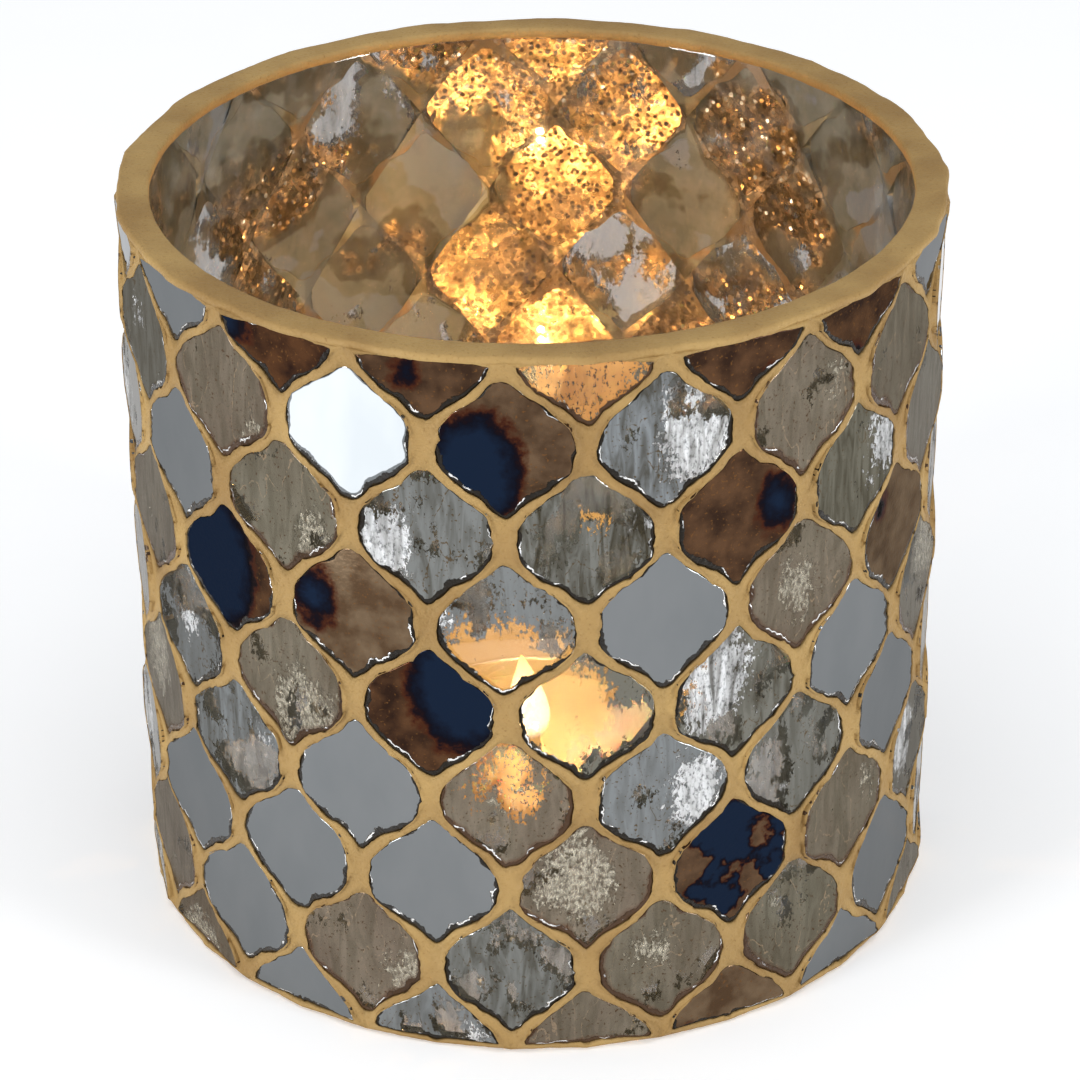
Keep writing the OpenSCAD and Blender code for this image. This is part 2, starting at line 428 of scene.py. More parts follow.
def leaf_inputs(tree):
    """The leaf group fed by a piece's own attributes, and those attributes."""
    spot = read_attribute(tree, "spot").outputs["Vector"]
    cast = xyz(tree, read_attribute(tree, "cast").outputs["Vector"])
    patch = read_attribute(tree, "patch").outputs["Vector"]
    leaf = hook_up(tree, "ShaderNodeGroup", node_tree=leaf_group)
    tree.links.new(spot, leaf.inputs["Spot"])
    tree.links.new(cast[0], leaf.inputs["Bare"])
    tree.links.new(patch, leaf.inputs["Patch"])
    tree.links.new(read_attribute(tree, "worn_glow").outputs["Vector"], leaf.inputs["Worn Glow"])
    nipped = read_attribute(tree, "nipped").outputs["Fac"]
    return leaf.outputs, cast, nipped, spot


def nipped_edge(tree, skin, nipped, spot, colour, rough, metal, height, edge_shade_colour=(0.012, 0.009, 0.006, 1)):
    """Darkens the nipped edge with painted shade, a dark band that stands for the glass's side wall seen
    through the face, chips it, and feeds the shader's colour, gloss and relief.
    """
    bits = cloudy(tree, spot, 1.2, 4.0)
    long = cloudy(tree, spot, 0.34, 3.0)
    depth = calc(tree, "MULTIPLY_ADD", bits, 0.8, calc(tree, "SUBTRACT", nipped, 0.4))
    chip = calc(tree, "MULTIPLY", calc(tree, "COMPARE", depth, 0.48, 0.08), ramp(tree, long, 0.56, 0.60))
    # This marks the dark band of painted shade along the edge.
    edge_shade_band = ramp(tree, depth, 0.37, 0.43)
    shade = blend(tree, chip, edge_shade_colour, (0.9, 0.9, 0.89, 1))
    tree.links.new(blend(tree, edge_shade_band, colour, shade), skin.inputs["Base Color"])
    tree.links.new(blend_values(tree, edge_shade_band, rough, 0.14), skin.inputs["Roughness"])
    tree.links.new(blend_values(tree, edge_shade_band, metal, chip), skin.inputs["Metallic"])
    rise = calc(tree, "MULTIPLY_ADD", calc(tree, "MULTIPLY", edge_shade_band, bits), 1.2, height)
    relief = hook_up(tree, "ShaderNodeBump", ("Height", rise), ("Strength", 1.0), ("Distance", 0.0003))
    tree.links.new(relief.outputs[0], skin.inputs["Normal"])
    return edge_shade_band


def glowing_lacquer(tree, leaf, bright, deep, cracked):
    """The amber lacquer that the lost leaf leaves bare, painted bright as painted candle glow shining through
    it, with a few or many dark cracks in it.
    """
    lit_lacquer = blend(tree, leaf["Shade"], bright, deep)
    cracks = ramp(tree, leaf["Foil Height"], cracked, cracked + 0.05)
    return blend(tree, cracks, (0.12, 0.045, 0.015, 1), lit_lacquer)


def gloss(skin, weight):
    skin.inputs["Specular Tint"].default_value = (0.45, 0.43, 0.4, 1)
    skin.inputs["Specular IOR Level"].default_value = 0.25
    skin.inputs["Coat Weight"].default_value = weight
    skin.inputs["Coat Roughness"].default_value = 0.03
    skin.inputs["Coat IOR"].default_value = 1.5


mirror, tree, skin = start_material("mirror_leaf")
leaf, cast, nipped, spot = leaf_inputs(tree)
grey = blend(tree, leaf["Shade"], (0.192, 0.203, 0.209, 1), (0.214, 0.223, 0.228, 1))
haze = cloudy(tree, spot, 0.12, 3.0)
rough = ramp(tree, haze, 0.3, 0.75, 0.02, 0.06)
nipped_edge(tree, skin, nipped, spot, grey, rough, 1.0, calc(tree, "MULTIPLY", haze, 0.2))
skin.inputs["Specular Tint"].default_value = (0.6, 0.6, 0.6, 1)

silver, tree, skin = start_material("old_silver_leaf")
leaf, cast, nipped, spot = leaf_inputs(tree)
plain = blend(tree, cast[2], (0.165, 0.155, 0.12, 1), (0.235, 0.252, 0.262, 1))
pitted = blend(tree, calc(tree, "MAXIMUM", leaf["Speck"], leaf["Hair"]), plain, (0.12, 0.085, 0.05, 1))
raised = ramp(tree, leaf["Foil Height"], 0.38, 0.5)
raised = blend(tree, raised, (0.30, 0.31, 0.315, 1), (0.92, 0.93, 0.94, 1))
foiled = blend(tree, leaf["Crinkle"], pitted, raised)
olive = blend(tree, leaf["Streak"], (0.20, 0.185, 0.14, 1), (0.04, 0.034, 0.020, 1))
brushed = blend(tree, calc(tree, "MULTIPLY", leaf["Streak"], cast[1]), foiled, (0.05, 0.042, 0.026, 1))
toned = blend(tree, leaf["Bare"], brushed, olive)
# Bright amber where the leaf is worn: painted candle glow through the lacquer.
lit_lacquer = glowing_lacquer(tree, leaf, (0.95, 0.49, 0.12, 1), (0.80, 0.37, 0.08, 1), 0.31)
toned = blend(tree, leaf["Worn Glow"], toned, lit_lacquer)
metal = ramp(tree, leaf["Bare"], 0, 1, 1.0, 0.45)
rough = blend_values(tree, leaf["Bare"], blend_values(tree, leaf["Crinkle"], 0.10, 0.30), 0.12)
foil = calc(tree, "MULTIPLY", leaf["Crinkle"], calc(tree, "MULTIPLY", leaf["Foil Height"], 1.5))
foil = calc(tree, "MULTIPLY_ADD", leaf["Bare"], -0.12, foil)
edge_shade_band = nipped_edge(tree, skin, nipped, spot, toned, rough, metal, foil)
clear = calc(tree, "MULTIPLY_ADD", calc(tree, "MULTIPLY", leaf["Streak"], cast[1]), 0.5, 0.25)
clear = blend_values(tree, leaf["Worn Glow"], clear, 0.6)
clear = blend_values(tree, leaf["Bare"], 1.0, clear)
tree.links.new(calc(tree, "MAXIMUM", clear, edge_shade_band), skin.inputs["Alpha"])
gloss(skin, 0.12)

champagne, tree, skin = start_material("champagne_leaf")
leaf, cast, nipped, spot = leaf_inputs(tree)
plain = blend(tree, cast[2], (0.140, 0.118, 0.082, 1), (0.178, 0.136, 0.100, 1))
pale = blend(tree, cast[2], (0.19, 0.175, 0.13, 1), (0.235, 0.19, 0.14, 1))
plain = blend(tree, leaf["Shade"], plain, pale)
streaked = blend(tree, calc(tree, "MULTIPLY", leaf["Streak"], 0.45), plain, (0.062, 0.052, 0.030, 1))
flecked = blend(tree, leaf["Speck"], streaked, (0.085, 0.045, 0.02, 1))
scratched = blend(tree, calc(tree, "MULTIPLY", leaf["Hair"], 0.5), flecked, (0.42, 0.30, 0.19, 1))
glint = calc(tree, "MULTIPLY", leaf["Crinkle"], ramp(tree, leaf["Foil Height"], 0.4, 0.6))
shiny = blend(tree, glint, scratched, (0.52, 0.48, 0.38, 1))
rusty = blend(tree, ramp(tree, nipped, 0.0, 0.7), shiny, (0.10, 0.036, 0.012, 1))
toned = blend(tree, leaf["Bare"], rusty, (0.085, 0.068, 0.038, 1))
# Bright amber where the leaf is worn: painted candle glow through the lacquer.
lit_lacquer = glowing_lacquer(tree, leaf, (0.88, 0.43, 0.12, 1), (0.45, 0.18, 0.045, 1), 0.4)
toned = blend(tree, leaf["Worn Glow"], toned, lit_lacquer)
metal = ramp(tree, leaf["Bare"], 0, 1, 0.85, 0.2)
foil = calc(tree, "MULTIPLY_ADD", leaf["Crinkle"], calc(tree, "MULTIPLY", leaf["Foil Height"], 1.2),
            calc(tree, "MULTIPLY", leaf["Foil Height"], 0.08))
rough = ramp(tree, leaf["Streak"], 0, 1, 0.14, 0.26)
edge_shade_band = nipped_edge(tree, skin, nipped, spot, toned, rough, metal, foil, (0.06, 0.03, 0.014, 1))
clear = blend_values(tree, leaf["Worn Glow"], ramp(tree, leaf["Bare"], 0, 1, 0.95, 0.38), 0.7)
tree.links.new(calc(tree, "MAXIMUM", clear, edge_shade_band), skin.inputs["Alpha"])
gloss(skin, 0.12)

burnt, tree, skin = start_material("burnt_leaf")
leaf, cast, nipped, spot = leaf_inputs(tree)
mottle = cloudy(tree, spot, 0.30, 5.0)
rust = blend(tree, ramp(tree, mottle, 0.36, 0.64), (0.018, 0.006, 0.003, 1), (0.085, 0.034, 0.012, 1))
tan = blend(tree, ramp(tree, mottle, 0.36, 0.64), (0.085, 0.048, 0.024, 1), (0.17, 0.115, 0.068, 1))
brown = blend(tree, cast[2], rust, tan)
brown = blend(tree, calc(tree, "MULTIPLY", leaf["Speck"], 0.7), brown, (0.16, 0.07, 0.02, 1))
blotch = cloudy(tree, spot, 0.26, 4.0)
blotch = calc(tree, "MULTIPLY", cast[1], calc(tree, "SUBTRACT", blotch, 0.5))
heat = calc(tree, "MULTIPLY_ADD", blotch, 34.0, leaf["Patch"])
ring = blend(tree, ramp(tree, heat, -1.5, -0.5), brown, (0.055, 0.013, 0.004, 1))
violet = blend(tree, ramp(tree, heat, -0.6, 0.0), ring, (0.007, 0.002, 0.004, 1))
blue = blend(tree, ramp(tree, heat, 0.5, 2.4), (0.003, 0.003, 0.008, 1), (0.006, 0.014, 0.034, 1))
toned = blend(tree, ramp(tree, heat, 0.05, 0.6), violet, blue)
scratch = cloudy(tree, spot, 2.0, 5.0)
metal = ramp(tree, heat, -0.1, 0.5, 0.85, 1.0)
nipped_edge(tree, skin, nipped, spot, toned, 0.16, metal, calc(tree, "MULTIPLY", scratch, 0.1))
gloss(skin, 0.08)


def back_of_leaf(tree, skin, where, bare, tone):
    """The oxidised back of the leaf, seen through the cup: bronze flakes, olive, taupe or grey."""
    mottle = cloudy(tree, where, 260.0, 4.0, Roughness=0.62)
    drift = cloudy(tree, where, 60.0, 4.0)
    kind = calc(tree, "MULTIPLY_ADD", drift, 1.7, calc(tree, "MULTIPLY_ADD", tone, 0.6, -0.66))
    flakes = hook_up(tree, "ShaderNodeTexVoronoi", ("Vector", where), ("Scale", 1300.0))
    chance = hook_up(tree, "ShaderNodeSeparateColor", ("Color", flakes.outputs["Color"])).outputs[2]
    shiny = calc(tree, "MULTIPLY", ramp(tree, mottle, 0.36, 0.60), ramp(tree, chance, 0.4, 0.85, 0.22, 1.0))
    bronze = blend(tree, shiny, (0.115, 0.085, 0.055, 1), (0.90, 0.66, 0.40, 1))
    beige = blend(tree, ramp(tree, mottle, 0.35, 0.65), (0.16, 0.175, 0.15, 1), (0.25, 0.26, 0.225, 1))
    olive = blend(tree, ramp(tree, mottle, 0.35, 0.65), (0.060, 0.056, 0.038, 1), (0.13, 0.118, 0.08, 1))
    plain = ramp(tree, kind, 0.49, 0.43)
    toned = blend(tree, plain, bronze, blend(tree, ramp(tree, kind, 0.37, 0.33), olive, beige))
    toned = blend(tree, ramp(tree, kind, 0.22, 0.19), toned, (0.24, 0.285, 0.33, 1))
    tree.links.new(blend(tree, bare, toned, (0.24, 0.27, 0.30, 1)), skin.inputs["Base Color"])
    metal = ramp(tree, plain, 0, 1, 0.95, 0.15)
    metal = calc(tree, "MULTIPLY", metal, calc(tree, "MULTIPLY_ADD", bare, -0.8, 1.0))
    tree.links.new(metal, skin.inputs["Metallic"])
    rough = blend_values(tree, plain, ramp(tree, mottle, 0.3, 0.7, 0.36, 0.22), 0.45)
    tree.links.new(rough, skin.inputs["Roughness"])
    rise = calc(tree, "MULTIPLY", mottle, ramp(tree, plain, 0, 1, 0.5, 0.12))
    relief = hook_up(tree, "ShaderNodeBump", ("Height", rise), ("Strength", 0.6), ("Distance", 0.0004))
    # Round flakes of foil, each lying at its own slight angle, so that some of them catch the flame.
    disc = ramp(tree, flakes.outputs["Distance"], 0.44, 0.38)
    disc = calc(tree, "MULTIPLY", disc, ramp(tree, plain, 0, 1, 0.9, 0.0))
    lean = on_vectors(tree, "SUBTRACT", flakes.outputs["Color"], (0.5, 0.5, 0.5))
    lean = hook_up(tree, "ShaderNodeVectorMath", (0, lean), ("Scale", disc), operation="SCALE").outputs[0]
    turned = on_vectors(tree, "NORMALIZE", on_vectors(tree, "ADD", relief.outputs[0], lean))
    tree.links.new(turned, skin.inputs["Normal"])


backing, tree, skin = start_material("leaf_backing")
leaf, cast, nipped, spot = leaf_inputs(tree)
back_of_leaf(tree, skin, own_place(tree), leaf["Bare"], cast[2])
tree.links.new(ramp(tree, leaf["Bare"], 0, 1, 1.0, 0.52), skin.inputs["Alpha"])

LEAVES = {"mirror": (mirror, "mirror_glass"), "silver": (silver, "silver_glass"),
          "champagne": (champagne, "champagne_glass"), "burnt": (burnt, "burnt_glass")}
# Rings of points from the back edge round to the flat face: pulled in by, distance from the axis.
EDGE = [(0.02, TILE_BACK), (0.0, TILE_BACK + 0.1), (0.0, TILE_FACE - 0.32), (0.09, TILE_FACE - 0.1),
        (0.30, TILE_FACE), (0.75, TILE_FACE), (1.3, TILE_FACE)]

for node in sorted({piece["node"] for piece in layout.values()}):
    finish = node.split("_")[0]
    points, faces, which, notes = [], [], [], []
    for (row, column), piece in sorted(layout.items()):
        if piece["node"] != node:
            continue
        dice, curve = piece["dice"], piece["curve"]
        special = SPECIAL.get((row, column), {})
        shares = {"mirror": (0.0, 0.0), "silver": (dice.uniform(0.1, 0.45), dice.uniform(0.2, 0.9)),
                  "champagne": (dice.uniform(0.05, 0.3), 0.6), "burnt": (0.0, 0.0)}[finish]
        seed = 40.0 + 11.7 * dice.randrange(90)
        bare = special.get("bare", shares[0])
        spot_at = (dice.uniform(-6, 6), dice.uniform(-5, 5), dice.uniform(-1, 6))
        patch = special.get("patch", spot_at)
        worn_glow = special.get("worn_glow", (0, 0, -20))
        piece["tone"] = special.get("tone", dice.random())
        cast_of = (bare, special.get("streak", shares[1]), piece["tone"])
        patch_at = (patch[0] + seed, patch[1] + seed, patch[2])
        worn_glow_at = (worn_glow[0] + seed, worn_glow[1] + seed, worn_glow[2])
        base = len(points)
        # The dark edge band is painted shade of the glass's side wall seen through the face: it is broad
        # below and at the sides, where that wall shows from the front and above.
        broad = []
        for i, p in enumerate(curve):
            along = curve[(i + 1) % OUTLINE] - curve[i - 1]
            down, beside = along.normalized().x, abs(along.normalized().y)
            uneven = noise.noise(Vector((p.x * 0.35, p.y * 0.35, seed)))
            broad.append(max(0.3, 0.7 + 0.95 * down + 0.35 * beside + 1.2 * uneven))
        for inset, depth in EDGE:
            for p, wide in zip(pull_in(curve, [inset * w for w in broad]), broad):
                points.append(on_tile(piece, row, p, depth))
                # How far a point lies into the chipped edge and its band of painted shade.
                chipped_and_shaded = max(0.0, 1 - inset / 0.75) * min(1, wide / 0.85)
                notes.append(((p.x + seed, p.y + seed, seed), cast_of, patch_at, worn_glow_at, chipped_and_shaded))
        for ring in range(len(EDGE) - 1):
            for i in range(OUTLINE):
                j = (i + 1) % OUTLINE
                a, b = base + ring * OUTLINE, base + (ring + 1) * OUTLINE
                faces.append([a + i, a + j, b + j, b + i])
                which.append(0)
        last = base + (len(EDGE) - 1) * OUTLINE
        faces.append([last + i for i in range(OUTLINE)])
        which.append(0)
        faces.append([base + i for i in reversed(range(OUTLINE))])
        which.append(1)
    material, slot = LEAVES[finish]
    made = build_piece(node.replace("_tiles_", "_pieces_"), points, faces, "holder", slot,
                       [material, backing], [node], which)
    for polygon in made.data.polygons:
        if polygon.material_index == 1:
            polygon.use_smooth = False
    for at, name in enumerate(("spot", "cast", "patch", "worn_glow")):
        made.data.attributes.new(name, "FLOAT_VECTOR", "POINT").data.foreach_set(
            "vector", [c for n in notes for c in n[at]])
    made.data.attributes.new("nipped", "FLOAT", "POINT").data.foreach_set("value", [n[4] for n in notes])


# ---- Grout -----------------------------------------------------------------------------------
# Ochre-gold grout pressed into the joints by hand and wiped, so it laps raggedly over the edges
# of the pieces and is a little hollow in the middle of each joint.

JOINT_STEPS = 20      # points along one side of a piece's diamond-shaped cell


def grout_lump(p):
    """How far grout stands out at a point on its surface, in mm: hand marks and grit."""
    q = p / MM
    return 0.14 * noise.noise(q * 0.22) + 0.08 * noise.noise(q * 0.9) + 0.05 * noise.noise(q * 2.7)


def cell_height(row, y):
    """The height of a cell's edge, squeezed so that grout ends under the cap and over the floor."""
    z = TILE_TOP - ROW_STEP * (row - y)
    return 92 + (z - 92) * 0.6 if z > 92 else 0.4 + z * 0.8 if z < 2 else z


def outward(curve, middle, goal):
    """The point of a closed curve that lies in the direction of goal from its middle."""
    for i in range(len(curve)):
        a, b = curve[i] - middle, curve[(i + 1) % len(curve)] - middle
        cross = a.x * b.y - a.y * b.x
        s, t = (goal.x * b.y - goal.y * b.x) / cross, (a.x * goal.y - a.y * goal.x) / cross
        if s >= -1e-9 and t >= -1e-9 and s + t > 0:
            return middle + (a * s + b * t) / (s + t)


points, faces, which, tones, shared = [], [], [], [], {}


def shared_point(key, place):
    """The number of a point that neighbouring cells share, made the first time it's asked for."""
    if key not in shared:
        shared[key] = len(points)
        points.append(place())
    return shared[key]


for (row, column), piece in sorted(layout.items()):
    curve, around = piece["curve"], piece["around"]
    middle = sum(curve, Vector((0, 0))) / OUTLINE
    rings = [[] for _ in range(6)]
    for quarter in range(4):
        for i in range(JOINT_STEPS):
            left = JOINT_STEPS - i
            x, y = [(left, i), (-i, left), (-left, -i), (i, -left)][quarter]
            if (row == 0 and y > 0) or (row == 8 and y < 0):
                y = 0
            across = 2 * column + (row + 1) % 2
            key = ((across * JOINT_STEPS + x) % (2 * COLUMNS * JOINT_STEPS), row * JOINT_STEPS - y)
            x, y = x / JOINT_STEPS, y / JOINT_STEPS
            z, angle = cell_height(row, y), around + x * PITCH / 2
            round_at = Vector((math.sin(angle), -math.cos(angle), 0))
            level = Vector((0, 0, z * MM))
            near, far = x * PITCH / 2, (abs(x) - 1) * PITCH / 2
            r = (TILE_FACE / math.cos(near) + TILE_FACE / math.cos(far)) / 2 - 0.05
            back = (TILE_BACK / math.cos(near) + TILE_BACK / math.cos(far)) / 2 + 0.1
            rings[0].append(shared_point(("in", key), lambda: round_at * back * MM + level))
            flat = round_at * r * MM + level
            rings[5].append(shared_point(
                ("out", key), lambda: round_at * (r + grout_lump(flat)) * MM + level))
            corner = Vector((x * PITCH / 2 * TILE_FACE, z - TILE_TOP + ROW_STEP * row))
            edge = outward(curve, middle, corner - middle)
            away = (edge - middle).normalized()
            lap = 0.26 * noise.noise(Vector((edge.x * 0.55, edge.y * 0.55, row * 13.1 + column * 3.7)))
            lap += 0.22 * noise.noise(Vector((edge.x * 1.9, edge.y * 1.9, row * 7.7 + column * 2.3)))
            lip = on_tile(piece, row, edge - away * max(lap, -0.03), TILE_FACE + 0.05)
            trough = lip.lerp(points[rings[5][-1]], 0.45)
            trough += round_at * 0.8 * (0.04 + grout_lump(trough)) * MM
            low_wall = on_tile(piece, row, edge + away * 0.03, TILE_BACK)
            high_wall = on_tile(piece, row, edge + away * 0.03, TILE_FACE - 0.3)
            for ring, place in enumerate((low_wall, high_wall, lip, trough), start=1):
                rings[ring].append(len(points))
                points.append(place)
    tones += [piece["tone"]] * (len(points) - len(tones))
    count = 4 * JOINT_STEPS
    for a, b in zip(rings, rings[1:]):
        faces += [[a[i], b[i], b[(i + 1) % count], a[(i + 1) % count]] for i in range(count)]
        which += [1 if a is rings[0] else 0] * count
    ends = range(2 * JOINT_STEPS) if row == 0 else range(2 * JOINT_STEPS, count) if row == 8 else ()
    for i in ends:
        j = (i + 1) % count
        faces.append([rings[5][i], rings[0][i], rings[0][j], rings[5][j]])
        which.append(0)

ochre, tree, skin = start_material("gold_grout")
where = own_place(tree)
stain = cloudy(tree, where, 90.0, 5.0)
grit = cloudy(tree, where, 2600.0, 3.0)
gold = blend(tree, ramp(tree, stain, 0.36, 0.66), (0.305, 0.180, 0.054, 1), (0.425, 0.272, 0.092, 1))
gold = blend(tree, ramp(tree, grit, 0.62, 0.74, 0, 0.6), gold, (0.23, 0.125, 0.038, 1))
tree.links.new(gold, skin.inputs["Base Color"])
tree.links.new(ramp(tree, grit, 0.3, 0.7, 0.55, 0.8), skin.inputs["Roughness"])
relief = hook_up(tree, "ShaderNodeBump", ("Height", grit), ("Strength", 0.6), ("Distance", 0.0003))
tree.links.new(relief.outputs[0], skin.inputs["Normal"])
skin.inputs["Metallic"].default_value = 0.1
# Behind the joints the leaf's backing paint is smeared over the grout, so it hardly shows from inside.
smeared, tree, skin = start_material("smeared_grout")
where = own_place(tree)
patchy = cloudy(tree, where, 70.0, 4.0)
back_of_leaf(tree, skin, where, 0.0, read_attribute(tree, "tone").outputs["Fac"])
painted = skin.inputs["Base Color"].links[0].from_socket
bared = ramp(tree, patchy, 0.54, 0.60)
tree.links.new(blend(tree, bared, painted, (0.30, 0.18, 0.075, 1)), skin.inputs["Base Color"])
tree.links.new(ramp(tree, bared, 0, 1, 0.5, 0.1), skin.inputs["Metallic"])
made = build_piece("grout_joints", points, faces, "holder", "gold_grout", [ochre, smeared], ["grout"], which)
made.data.polygons.foreach_set("use_smooth", [w == 0 for w in which])
made.data.attributes.new("tone", "FLOAT", "POINT").data.foreach_set("value", tones)


# ---- Rim cap ---------------------------------------------------------------------------------
# The same grout wiped over the cup's rim by finger, so that its edges wander and its top is
# softly rounded.

def cap_wobble(a, r, z):
    """How the cap's surface wanders, in mm out and up: it follows the pieces and the finger."""
    p = Vector((math.cos(a), math.sin(a), 0)) * 50
    outer = r > CUP_R
    around = (a + math.pi / 2 - FIRST + PITCH / 2) % PITCH - PITCH / 2
    wave = (TILE_FACE / math.cos(around) - TILE_FACE) * 0.5 if outer else 0
    sway = 0.22 if outer else 0.07
    out = wave + sway * noise.noise(p * 0.25 + Vector((0, 0, r))) + 0.05 * noise.noise(p * 1.3)
    up = 0.10 * noise.noise(p * 0.3 + Vector((0, 0, 9))) + 0.03 * noise.noise(p * 1.9 + Vector((0, 0, r)))
    return out, up


cap_profile = (
    [(BORE_R - 0.02, CUP_TOP - 0.5), (BORE_R - 0.02, CUP_TOP)]
    + arc(BORE_R + 0.45, 93.5, 0.5, 180, 90, 5)
    + [(47.2, 94.03), (48.0, 94.04), (48.9, 94.02)]
    + arc(49.45, 93.4, 0.55, 80, 0, 5)
    + [(49.98, CUP_TOP - 0.1), (49.3, CUP_TOP - 0.25), (47.9, CUP_TOP - 0.1)]
)
points, faces = turn_profile(list(reversed(cap_profile)), 400, cap_wobble)
build_piece("rim_gold", points, faces, "holder", "gold_grout", [ochre], ["rim_cap"])


# ---- Tealight --------------------------------------------------------------------------------
# A pressed aluminium cup of paraffin wax, with a braided cotton wick crimped in a tinned clip.

LOW = FLOOR_Z          # the candle stands on the cup's floor
WAX_Z = LOW + 8.85     # the pool's surface
WICK_TOP = WAX_Z + 5.0
FLUTES = 48

aluminium, tree, skin = start_material("candle_cup_foil")
where = own_place(tree)
dull = cloudy(tree, where, 400.0, 4.0)
tree.links.new(blend(tree, dull, (0.72, 0.72, 0.73, 1), (0.86, 0.86, 0.86, 1)), skin.inputs["Base Color"])
tree.links.new(ramp(tree, dull, 0.3, 0.7, 0.22, 0.4), skin.inputs["Roughness"])
skin.inputs["Metallic"].default_value = 1


def flutes(a, r, z):
    """The pressed ribs of the aluminium wall, in mm outwards."""
    on_wall = LOW + 1.0 < z < LOW + 11.2
    return (0.09 * math.cos(FLUTES * a) if on_wall else 0, 0)


foil_profile = ([(0, LOW + 0.01), (18.2, LOW + 0.01)] + arc(18.2, LOW + 0.8, 0.75, -90, 0, 5)
                + [(19.0, LOW + 1.6), (19.0, LOW + 10.6), (19.05, LOW + 11.1)]
                + arc(19.0, LOW + 11.5, 0.48, -60, 190, 10)
                + [(18.78, LOW + 10.8), (18.72, LOW + 1.6), (18.5, LOW + 0.9), (17.9, LOW + 0.3)]
                + [(0, LOW + 0.25)])
points, faces = turn_profile(foil_profile, 288, flutes)
build_piece("candle_cup", points, faces, "tealight", "aluminium", [aluminium], ["tealight_cup"])

paraffin, tree, skin = start_material("paraffin")
where = own_place(tree)
cloud = cloudy(tree, where, 160.0, 3.0)
tree.links.new(blend(tree, cloud, (0.82, 0.70, 0.48, 1), (0.88, 0.78, 0.58, 1)), skin.inputs["Base Color"])
tree.links.new(ramp(tree, cloud, 0.3, 0.7, 0.12, 0.3), skin.inputs["Roughness"])
skin.inputs["Subsurface Weight"].default_value = 0.4
skin.inputs["Subsurface Scale"].default_value = 0.003
wax_profile = [(0, LOW + 0.35), (18.3, LOW + 0.35), (18.6, LOW + 0.9), (18.68, LOW + 2),
               (18.68, WAX_Z + 0.5), (18.6, WAX_Z + 0.55), (18.1, WAX_Z + 0.15), (16.5, WAX_Z - 0.02),
               (12, WAX_Z - 0.1), (6, WAX_Z - 0.12), (2.4, WAX_Z - 0.05), (1.3, WAX_Z + 0.2),
               (0, WAX_Z + 0.3)]
points, faces = turn_profile(wax_profile, 128)
build_piece("wax", points, faces, "tealight", "wax", [paraffin], ["tealight_wax"])

tin, tree, skin = start_material("tinned_steel")
where = own_place(tree)
dull = cloudy(tree, where, 900.0)
tree.links.new(blend(tree, dull, (0.5, 0.5, 0.48, 1), (0.7, 0.7, 0.68, 1)), skin.inputs["Base Color"])
tree.links.new(ramp(tree, dull, 0.3, 0.7, 0.25, 0.45), skin.inputs["Roughness"])
skin.inputs["Metallic"].default_value = 1
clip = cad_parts["wick_clip"]
clip.data.materials.clear()
clip.data.materials.append(tin)

char, tree, skin = start_material("charred_cotton")
where = own_place(tree)
height = xyz(tree, where)[2]
fibre = cloudy(tree, where, 4000.0)
burn = ramp(tree, height, (WAX_Z + 1.0) * MM, (WAX_Z + 2.6) * MM)
cotton = blend(tree, fibre, (0.3, 0.22, 0.12, 1), (0.6, 0.5, 0.34, 1))
tree.links.new(blend(tree, burn, cotton, (0.012, 0.01, 0.009, 1)), skin.inputs["Base Color"])
ember = ramp(tree, height, (WICK_TOP - 0.8) * MM, WICK_TOP * MM)
tree.links.new(blend(tree, ember, (0, 0, 0, 1), (1.0, 0.22, 0.03, 1)), skin.inputs["Emission Color"])
skin.inputs["Emission Strength"].default_value = 3
skin.inputs["Roughness"].default_value = 0.85
WICK_FOOT = LOW + 0.6
points, faces, sides, steps = [], [], 18, 60
for j in range(steps + 1):
    t = j / steps
    z = WICK_FOOT + (WICK_TOP - WICK_FOOT) * t
    lean = max(0.0, (z - WAX_Z) / 5.0)
    centre = Vector((-0.9 * lean * lean, 0.1 * lean, z))
    for i in range(sides):
        a = 2 * math.pi * i / sides
        r = 0.66 + 0.12 * math.cos(3 * a + 0.9 * j) * (0.4 + 0.6 * min(1, lean + 0.4))
        r *= 1 if t < 0.97 else 0.6
        points.append((centre + Vector((r * math.cos(a), r * math.sin(a), 0))) * MM)
for j in range(steps):
    for i in range(sides):
        k = (i + 1) % sides
        faces.append([j * sides + i, j * sides + k, (j + 1) * sides + k, (j + 1) * sides + i])
faces.append(list(reversed(range(sides))))
faces.append([steps * sides + i for i in range(sides)])
build_piece("burnt_wick", points, faces, "tealight", "wick", [char], ["wick"])


# ---- Flame -----------------------------------------------------------------------------------
# A steady candle flame: clear and bluish at its foot, white-yellow in the body, amber at the
# tip. It stands on the wick and lights the inside of the cup.

FLAME_Z, FLAME_H = WAX_Z + 2.2, 12.5
fire, tree, skin = start_material("flame")
where = own_place(tree)
height = ramp(tree, xyz(tree, where)[2], FLAME_Z * MM, (FLAME_Z + FLAME_H) * MM)
low_part = blend(tree, ramp(tree, height, 0.02, 0.25), (0.06, 0.05, 0.10, 1), (1.0, 0.70, 0.34, 1))
hue = blend(tree, ramp(tree, height, 0.6, 1.0), low_part, (1.0, 0.45, 0.10, 1))
tree.links.new(hue, skin.inputs["Emission Color"])
skin.inputs["Emission Strength"].default_value = 14
skin.inputs["Base Color"].default_value = (0, 0, 0, 1)
skin.inputs["Specular IOR Level"].default_value = 0
rim_light = hook_up(tree, "ShaderNodeLayerWeight", ("Blend", 0.35)).outputs["Facing"]
solid = calc(tree, "MULTIPLY", ramp(tree, rim_light, 0.85, 0.15), ramp(tree, height, 0.0, 0.3, 0.15, 1.0))
tree.links.new(solid, skin.inputs["Alpha"])
fire.cycles.emission_sampling = "NONE"
FLAME_STEPS, FLAME_R = 24, 3.1
flame_profile = []
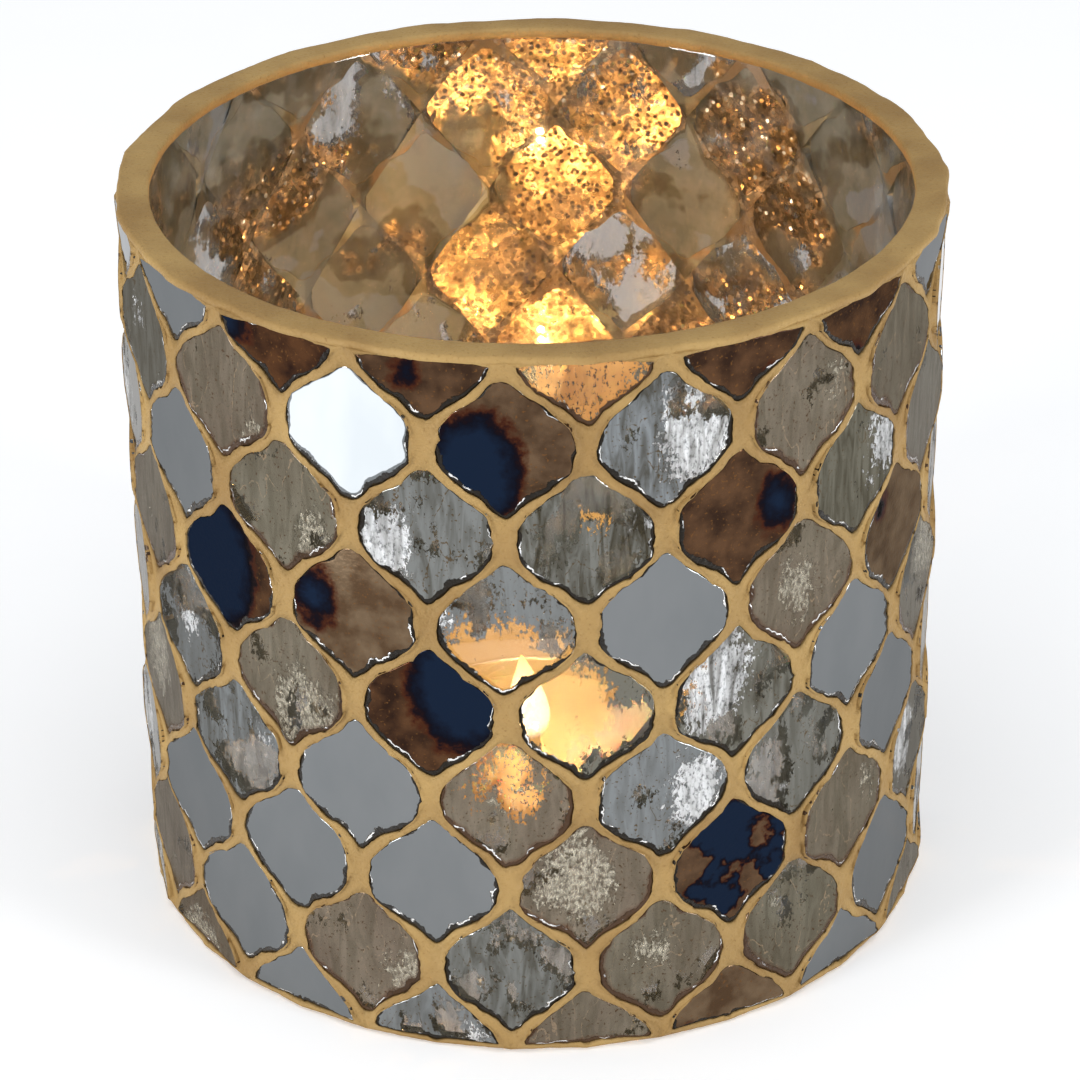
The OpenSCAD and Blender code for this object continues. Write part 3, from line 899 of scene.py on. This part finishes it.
for i in range(FLAME_STEPS + 1):
    t = i / FLAME_STEPS
    wide = FLAME_R * (math.sin(math.pi * min(1, t ** 0.62)) ** 0.8) * (1 - 0.25 * t)
    flame_profile.append((wide, FLAME_Z + FLAME_H * t))
flame_profile[0] = (0, FLAME_Z)
flame_profile[-1] = (0, FLAME_Z + FLAME_H)


def flame_lean(p):
    """Leans the flame a little to the left, towards the wick's bent end."""
    t = (p.z / MM - FLAME_Z) / FLAME_H
    return p - Vector((0.9 + 0.9 * t * t, 0.2, 0)) * MM


points, faces = turn_profile(flame_profile, 48)
# The outline closes along the axis, and the faces of that last step have no width.
faces = [f for f in faces if not (points[f[0]].xy.length < 1e-9 and points[f[-1]].xy.length < 1e-9)]
flame = build_piece("flame", [flame_lean(p) for p in points], faces, "tealight", "wick", [fire])
flame.visible_shadow = False


def candle_lamp(name, height, energy):
    """A small amber lamp that rides with the candle, height mm above the flame's foot."""
    glow = bpy.data.lights.new(name, "POINT")
    glow.energy, glow.color, glow.shadow_soft_size = energy, (1.0, 0.53, 0.17), 0.0004
    made = bpy.data.objects.new(name, glow)
    made.location = (-0.001, 0, (FLAME_Z + height) * MM)
    scene.collection.objects.link(made)
    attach(made, "tealight")
    return made


candle_lamp("candle_light", 12, 0.06)
# A second one, high up and for gloss alone, gives the glittering backs of the leaf their sparkle.
candle_lamp("candle_glint", 44, 0.06).visible_diffuse = False


# ---- Floor, light and camera -------------------------------------------------------------------
# A pale, faintly lit sweep of floor under soft studio light, seen from in front and above.

paper, tree, skin = start_material("studio_floor")
where = own_place(tree)
tooth = cloudy(tree, where, 60.0, 2.0)
tree.links.new(blend(tree, tooth, (0.86, 0.86, 0.86, 1), (0.88, 0.88, 0.88, 1)), skin.inputs["Base Color"])
skin.inputs["Roughness"].default_value = 0.8
skin.inputs["Emission Color"].default_value = (0.95, 0.97, 1.0, 1)
skin.inputs["Emission Strength"].default_value = 0.28
mesh = bpy.data.meshes.new("studio_floor")
mesh.from_pydata([(-4, -4, 0), (4, -4, 0), (4, 4, 0), (-4, 4, 0)], [], [(0, 1, 2, 3)])
mesh.materials.append(paper)
floor = bpy.data.objects.new("studio_floor", mesh)
scene.collection.objects.link(floor)

world = bpy.data.worlds.new("studio")
scene.world = world
world.use_nodes = True
world.node_tree.nodes["Background"].inputs["Color"].default_value = (0.93, 0.96, 1.0, 1)
world.node_tree.nodes["Background"].inputs["Strength"].default_value = 0.42


def softbox(name, place, aim, wide, tall, power, tint=(1, 1, 1)):
    """A flat studio light that the camera doesn't see, aimed at a point."""
    light = bpy.data.lights.new(name, "AREA")
    light.shape = "RECTANGLE"
    light.size, light.size_y, light.energy, light.color = wide, tall, power, tint
    made = bpy.data.objects.new(name, light)
    made.location = place
    made.rotation_euler = (Vector(aim) - Vector(place)).to_track_quat("-Z", "Y").to_euler()
    made.visible_camera = False
    scene.collection.objects.link(made)


softbox("overhead", (0.0, -0.1, 1.0), (0, 0, 0), 1.1, 0.9, 4.6)
softbox("left_panel", (-0.80, -0.65, 0.26), (0, 0, 0.05), 0.25, 0.45, 6)
softbox("right_panel", (0.85, -0.55, 0.24), (0, 0, 0.05), 0.2, 0.4, 5)
# A small card low on the left, which the white piece mirrors.
softbox("low_card", (-0.108, -0.1115, 0.0265), (-0.021, -0.045, 0.082), 0.022, 0.022, 0.0053,
        (0.95, 0.97, 1.0))

scene.view_settings.view_transform = "Standard"
scene.cycles.transparent_max_bounces = 32
lens = bpy.data.cameras.new("camera")
lens.lens, lens.sensor_width, lens.clip_start = 137.1, 36, 0.01
camera = bpy.data.objects.new("camera", lens)
place, aim = Vector((0.0007, -0.4557, 0.2963)), Vector((0.0007, 0, 0.04325))
towards = (aim - place).to_track_quat("-Z", "Y").to_matrix().to_4x4()
camera.matrix_world = Matrix.Translation(place) @ towards @ Matrix.Rotation(-0.0066, 4, "Z")
scene.collection.objects.link(camera)
scene.camera = camera
